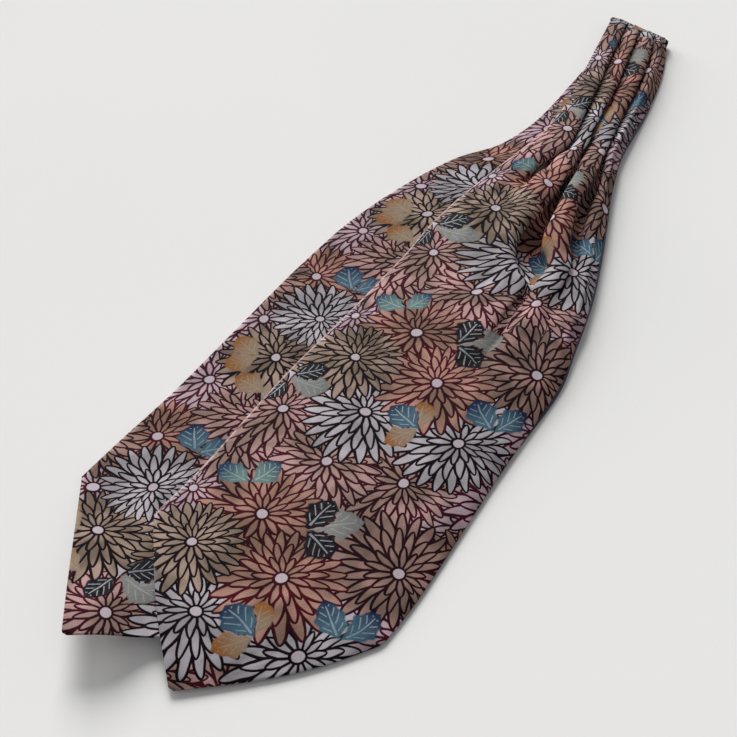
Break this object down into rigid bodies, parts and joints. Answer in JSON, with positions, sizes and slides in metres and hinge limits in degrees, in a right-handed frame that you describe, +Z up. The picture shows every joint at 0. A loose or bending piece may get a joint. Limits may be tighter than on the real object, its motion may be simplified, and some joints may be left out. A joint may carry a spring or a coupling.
{
  "type": "silk cravat",
  "caption": "Silk day cravat folded in half at its pleated neckband and laid flat, with pointed blades fanning out of knife pleats.",
  "frame": {"origin": "middle of the footprint on the table, at the underside the cravat rests on", "axes": "+Z up from the table, +Y along the folded length from the pointed tips to the turn of the neckband, +X across towards the plain lining edge"},
  "size_m": [0.2112, 0.6541, 0.0206],
  "materials": {
    "printed_silk": "matte silk, printed all over with chrysanthemums in tan, pink and lilac-white with maroon and near-black lines",
    "lining_silk": "matte plain blue-grey silk"
  },
  "bodies": {
    "root": {"front_blade": "printed_silk", "front_pleat_1": "printed_silk", "front_pleat_2": "printed_silk", "front_pleat_3": "printed_silk", "front_pleat_4": "printed_silk", "neck_turn": "printed_silk", "back_blade": "printed_silk", "back_pleat": "printed_silk", "hidden_layers": "printed_silk", "lining_edge": "lining_silk"}
  },
  "joints": []
}
